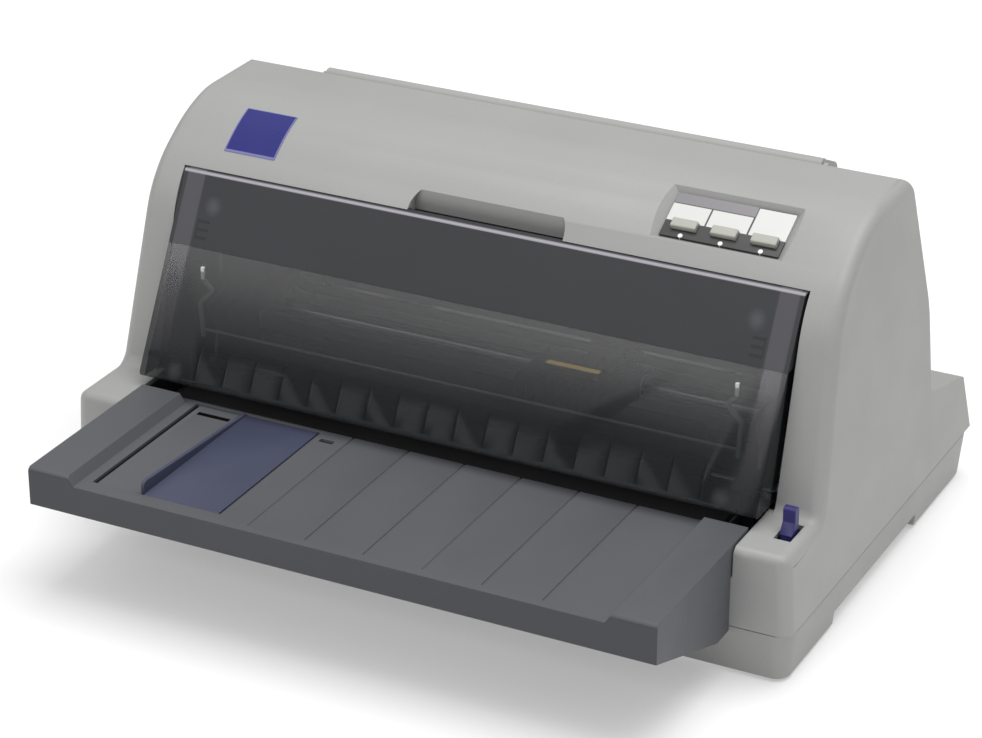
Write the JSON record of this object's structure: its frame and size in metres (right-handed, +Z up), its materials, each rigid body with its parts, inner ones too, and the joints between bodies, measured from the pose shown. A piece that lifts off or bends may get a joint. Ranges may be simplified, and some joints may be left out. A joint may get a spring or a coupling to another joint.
{
  "type": "dot matrix printer",
  "caption": "Flatbed dot matrix printer: grey case, smoked hinged front cover, dark front tray with sliding edge guide, rear cover, and a working print mechanism inside.",
  "frame": {"origin": "centre of the footprint of the whole machine, on the surface that it stands on", "axes": "+X to the machine's right as seen from its front, +Y to its back, +Z up"},
  "size_m": [0.468, 0.393, 0.232],
  "materials": {
    "case_plastic": "fine textured moulded shell, light neutral grey",
    "base_plastic": "fine textured moulded base, light neutral grey",
    "tray_plastic": "textured dark grey moulding",
    "guide_plastic": "slate blue moulding",
    "lever_plastic": "deep blue moulding",
    "smoked_cover": "smoked translucent cover",
    "panel_film": "printed panel sheet",
    "button_plastic": "pale moulded button",
    "lens_plastic": "translucent indicator lens",
    "black_plastic": "black moulded plastic",
    "grey_plastic": "mid grey moulded plastic",
    "frame_steel": "zinc plated pressed steel",
    "shaft_steel": "ground steel shaft",
    "cast_alloy": "cast and blackened light alloy",
    "bronze": "sintered bearing bronze",
    "gold_clip": "yellow passivated clamp",
    "roller_rubber": "matt black roller rubber",
    "foot_rubber": "soft black rubber foot",
    "gear_resin": "white acetal",
    "ribbon_cloth": "inked woven ribbon",
    "board_green": "green circuit board"
  },
  "bodies": {
    "root": {"upper_case": "case_plastic", "lower_case": "base_plastic", "rubber_feet": "foot_rubber", "front_tray": "tray_plastic", "cover_hinges": "black_plastic", "panel_plate": "panel_film", "indicator_lenses": "lens_plastic", "side_frame_left": "frame_steel", "side_frame_right": "frame_steel", "front_paper_guide": "black_plastic", "rear_paper_guide": "frame_steel", "cross_beams": "frame_steel", "guide_shafts": "shaft_steel", "feed_motor": "frame_steel", "carriage_motor": "frame_steel", "carriage_rail": "frame_steel", "timing_belt": "roller_rubber", "ribbon_cartridge": "black_plastic", "ink_ribbon": "ribbon_cloth", "base_plate": "frame_steel", "circuit_boards": "board_green", "power_supply": "frame_steel", "power_inlet": "black_plastic", "interface_ports": "frame_steel"},
    "front_cover": {"front_cover": "smoked_cover"},
    "rear_cover": {"rear_cover": "case_plastic"},
    "edge_guide": {"edge_guide": "guide_plastic"},
    "release_lever": {"release_lever": "lever_plastic"},
    "panel_button_1": {"panel_button_1": "button_plastic"},
    "panel_button_2": {"panel_button_2": "button_plastic"},
    "panel_button_3": {"panel_button_3": "button_plastic"},
    "power_switch": {"power_switch": "black_plastic"},
    "reduction_gear": {"reduction_gear": "gear_resin"},
    "motor_pinion": {"motor_pinion": "bronze"},
    "tractor_idler_gear": {"tractor_idler_gear": "gear_resin"},
    "front_idler_gear": {"front_idler_gear": "gear_resin"},
    "rear_idler_gear": {"rear_idler_gear": "gear_resin"},
    "tractor_left": {"tractor_left": "black_plastic"},
    "tractor_right": {"tractor_right": "black_plastic"},
    "tractor_sprocket_left": {"tractor_sprocket_left": "gear_resin"},
    "tractor_sprocket_right": {"tractor_sprocket_right": "gear_resin"},
    "tractor_flap_left": {"tractor_flap_left": "grey_plastic"},
    "tractor_flap_right": {"tractor_flap_right": "grey_plastic"},
    "drive_pulley": {"drive_pulley": "gear_resin"},
    "idler_pulley": {"idler_pulley": "gear_resin"},
    "ribbon_knob": {"ribbon_knob": "grey_plastic"},
    "carriage": {"carriage": "black_plastic", "carriage_bushes": "bronze", "print_head": "cast_alloy", "head_clamp": "gold_clip"},
    "platen": {"platen_shaft": "shaft_steel", "platen_roller": "roller_rubber"},
    "front_feed": {"front_feed_shaft": "shaft_steel", "front_feed_rollers": "roller_rubber"},
    "rear_feed": {"rear_feed_shaft": "shaft_steel", "rear_feed_rollers": "roller_rubber"},
    "front_pinch": {"front_pinch_rollers": "roller_rubber"},
    "rear_pinch": {"rear_pinch_rollers": "roller_rubber"},
    "tractor_drive": {"tractor_shaft": "shaft_steel"}
  },
  "joints": [
    {"name": "front_cover_hinge", "type": "hinge", "parent": "root", "child": "front_cover", "pos_m": [0, -0.06, 0.096], "axis": [1, 0, 0], "range_deg": [0, 85]},
    {"name": "rear_cover_hinge", "type": "hinge", "parent": "root", "child": "rear_cover", "pos_m": [0, 0.1006, 0.227], "axis": [1, 0, 0], "range_deg": [0, 75]},
    {"name": "edge_guide_slide", "type": "slide", "parent": "root", "child": "edge_guide", "axis": [1, 0, 0], "range_m": [-0.0324, 0]},
    {"name": "release_lever_turn", "type": "hinge", "parent": "root", "child": "release_lever", "pos_m": [0.2187, -0.06655, 0.044], "axis": [1, 0, 0], "range_deg": [-8, 5]},
    {"name": "panel_button_1_press", "type": "slide", "parent": "root", "child": "panel_button_1", "axis": [0, 0.4848, -0.8746], "range_m": [0, 0.0012], "stiffness_N_per_m": 400, "springref_m": -0.0005},
    {"name": "panel_button_2_press", "type": "slide", "parent": "root", "child": "panel_button_2", "axis": [0, 0.4848, -0.8746], "range_m": [0, 0.0012], "stiffness_N_per_m": 400, "springref_m": -0.0005},
    {"name": "panel_button_3_press", "type": "slide", "parent": "root", "child": "panel_button_3", "axis": [0, 0.4848, -0.8746], "range_m": [0, 0.0012], "stiffness_N_per_m": 400, "springref_m": -0.0005},
    {"name": "power_switch_rock", "type": "hinge", "parent": "root", "child": "power_switch", "pos_m": [-0.14, 0.172, 0.0495], "axis": [1, 0, 0], "range_deg": [-7, 7]},
    {"name": "carriage_travel", "type": "slide", "parent": "root", "child": "carriage", "axis": [1, 0, 0], "range_m": [-0.188, 0.084]},
    {"name": "drive_pulley_spin", "type": "hinge", "parent": "root", "child": "drive_pulley", "pos_m": [0.158, 0.06, 0.1004], "axis": [0, 0, 1], "continuous": true},
    {"name": "idler_pulley_spin", "type": "hinge", "parent": "root", "child": "idler_pulley", "pos_m": [-0.158, 0.06, 0.1004], "axis": [0, 0, 1], "continuous": true},
    {"name": "platen_spin", "type": "hinge", "parent": "root", "child": "platen", "pos_m": [0, 0.004, 0.0645], "axis": [1, 0, 0], "continuous": true},
    {"name": "reduction_gear_spin", "type": "hinge", "parent": "root", "child": "reduction_gear", "pos_m": [0, 0.0388, 0.05917], "axis": [1, 0, 0], "continuous": true},
    {"name": "motor_pinion_spin", "type": "hinge", "parent": "root", "child": "motor_pinion", "pos_m": [0, 0.05935, 0.05603], "axis": [1, 0, 0], "continuous": true},
    {"name": "tractor_idler_spin", "type": "hinge", "parent": "root", "child": "tractor_idler_gear", "pos_m": [0, 0.07978, 0.05994], "axis": [1, 0, 0], "continuous": true},
    {"name": "tractor_drive_spin", "type": "hinge", "parent": "root", "child": "tractor_drive", "pos_m": [0, 0.112, 0.0661], "axis": [1, 0, 0], "continuous": true},
    {"name": "front_idler_spin", "type": "hinge", "parent": "root", "child": "front_idler_gear", "pos_m": [0, -0.01205, 0.05727], "axis": [1, 0, 0], "continuous": true},
    {"name": "rear_idler_spin", "type": "hinge", "parent": "root", "child": "rear_idler_gear", "pos_m": [0, 0.01972, 0.05659], "axis": [1, 0, 0], "continuous": true},
    {"name": "front_feed_spin", "type": "hinge", "parent": "root", "child": "front_feed", "pos_m": [0, -0.018, 0.0695], "axis": [1, 0, 0], "continuous": true},
    {"name": "rear_feed_spin", "type": "hinge", "parent": "root", "child": "rear_feed", "pos_m": [0, 0.024, 0.0695], "axis": [1, 0, 0], "continuous": true},
    {"name": "front_pinch_spin", "type": "hinge", "parent": "root", "child": "front_pinch", "pos_m": [0, -0.018, 0.0813], "axis": [1, 0, 0], "continuous": true},
    {"name": "rear_pinch_spin", "type": "hinge", "parent": "root", "child": "rear_pinch", "pos_m": [0, 0.024, 0.0813], "axis": [1, 0, 0], "continuous": true},
    {"name": "tractor_left_shift", "type": "slide", "parent": "root", "child": "tractor_left", "axis": [1, 0, 0], "range_m": [-0.03, 0.05]},
    {"name": "tractor_sprocket_left_spin", "type": "hinge", "parent": "tractor_left", "child": "tractor_sprocket_left", "pos_m": [-0.114, 0.112, 0.0661], "axis": [1, 0, 0], "continuous": true},
    {"name": "tractor_flap_left_turn", "type": "hinge", "parent": "tractor_left", "child": "tractor_flap_left", "pos_m": [-0.125, 0.1, 0.0762], "axis": [0, -1, 0], "range_deg": [0, 75]},
    {"name": "tractor_right_shift", "type": "slide", "parent": "root", "child": "tractor_right", "axis": [1, 0, 0], "range_m": [-0.05, 0.03]},
    {"name": "tractor_sprocket_right_spin", "type": "hinge", "parent": "tractor_right", "child": "tractor_sprocket_right", "pos_m": [0.114, 0.112, 0.0661], "axis": [1, 0, 0], "continuous": true},
    {"name": "tractor_flap_right_turn", "type": "hinge", "parent": "tractor_right", "child": "tractor_flap_right", "pos_m": [0.125, 0.1, 0.0762], "axis": [0, 1, 0], "range_deg": [0, 75]},
    {"name": "ribbon_knob_turn", "type": "hinge", "parent": "root", "child": "ribbon_knob", "pos_m": [-0.124, 0.098, 0.1], "axis": [0, 0, 1], "continuous": true}
  ],
  "couplings": [
    {"joint": "drive_pulley_spin", "follows": "carriage_travel", "rad_per_m": 116.28},
    {"joint": "idler_pulley_spin", "follows": "carriage_travel", "rad_per_m": 116.28},
    {"joint": "reduction_gear_spin", "follows": "platen_spin", "ratio": -1.2},
    {"joint": "motor_pinion_spin", "follows": "platen_spin", "ratio": 4},
    {"joint": "tractor_idler_spin", "follows": "platen_spin", "ratio": -1.2},
    {"joint": "tractor_drive_spin", "follows": "platen_spin", "ratio": 1.1429},
    {"joint": "front_idler_spin", "follows": "platen_spin", "ratio": -1.2},
    {"joint": "rear_idler_spin", "follows": "platen_spin", "ratio": -1.2},
    {"joint": "front_feed_spin", "follows": "platen_spin", "ratio": 1.7143},
    {"joint": "rear_feed_spin", "follows": "platen_spin", "ratio": 1.7143},
    {"joint": "front_pinch_spin", "follows": "platen_spin", "ratio": -2.6667},
    {"joint": "rear_pinch_spin", "follows": "platen_spin", "ratio": -2.6667},
    {"joint": "tractor_sprocket_left_spin", "follows": "platen_spin", "ratio": 1.1429},
    {"joint": "tractor_sprocket_right_spin", "follows": "platen_spin", "ratio": 1.1429}
  ]
}
